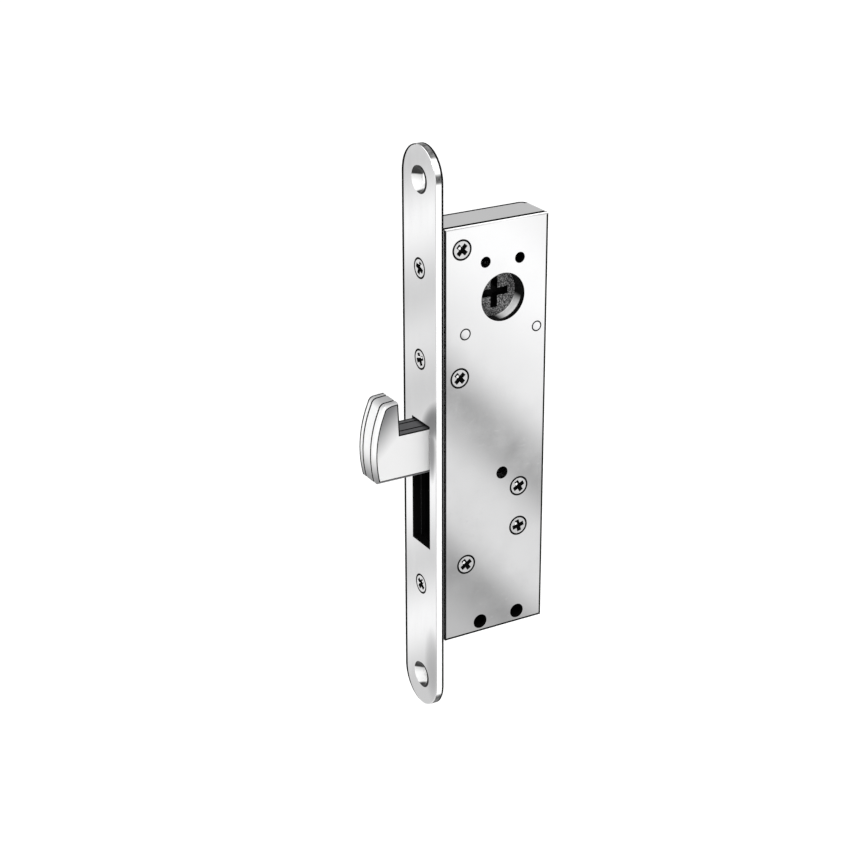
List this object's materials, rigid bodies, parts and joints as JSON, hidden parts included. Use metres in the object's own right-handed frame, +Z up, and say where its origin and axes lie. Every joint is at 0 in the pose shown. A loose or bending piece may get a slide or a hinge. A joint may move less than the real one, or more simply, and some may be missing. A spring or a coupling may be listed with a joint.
{
  "type": "mortise lock",
  "caption": "Mortise lock with a flat case, a round-ended faceplate and a swinging hook bolt worked by a cross-slotted follower.",
  "frame": {"origin": "centre of the faceplate's outer face", "axes": "+X into the door, +Y away from the cover side, +Z up along the faceplate"},
  "size_m": [0.0752, 0.0254, 0.235],
  "materials": {
    "faceplate": "bright plated steel, soft reflections",
    "case_sheet": "bright plated sheet, soft reflections",
    "hook_steel": "satin ground steel, in layers",
    "screw_steel": "bright zinc",
    "cast_follower": "dark grainy casting",
    "inner_steel": "plain steel",
    "spring_steel": "blued spring steel"
  },
  "bodies": {
    "case": {"faceplate": "faceplate", "case_body": "case_sheet", "case_cover": "case_sheet", "hook_pivot_pin": "inner_steel", "detent_spring": "spring_steel", "spring_rivet_front": "case_sheet", "spring_rivet_rear": "case_sheet", "screw_block_top": "inner_steel", "screw_block_middle": "inner_steel", "screw_block_bottom": "inner_steel", "rear_block": "inner_steel", "cover_screw_1": "screw_steel", "cover_screw_2": "screw_steel", "cover_screw_3": "screw_steel", "cover_screw_4": "screw_steel", "cover_screw_5": "screw_steel", "faceplate_screw_1": "screw_steel", "faceplate_screw_2": "screw_steel", "faceplate_screw_3": "screw_steel"},
    "hook": {"hook_plate_near": "hook_steel", "hook_core": "hook_steel", "hook_plate_far": "hook_steel", "hook_rivet_upper": "inner_steel", "hook_rivet_lower": "inner_steel", "hook_crank_pin": "inner_steel", "retaining_ring_lower": "spring_steel"},
    "follower": {"follower": "cast_follower", "follower_crank_pin": "inner_steel", "retaining_ring_upper": "spring_steel"},
    "link": {"link": "inner_steel"}
  },
  "joints": [
    {"name": "hook_swing", "type": "hinge", "parent": "case", "child": "hook", "pos_m": [0.02, -0.001, 0.002], "axis": [0, -1, 0], "range_deg": [0, 90]},
    {"name": "follower_turn", "type": "hinge", "parent": "case", "child": "follower", "pos_m": [0.03135, -0.001, 0.0558], "axis": [0, -1, 0], "range_deg": [0, 90], "deforming": ["detent_spring"]},
    {"name": "link_turn", "type": "hinge", "parent": "hook", "child": "link", "pos_m": [0.02, -0.001, -0.0125], "axis": [0, -1, 0], "range_deg": [-90, 0]}
  ],
  "couplings": [
    {"joint": "follower_turn", "follows": "hook_swing", "ratio": 1},
    {"joint": "link_turn", "follows": "hook_swing", "ratio": -1}
  ]
}
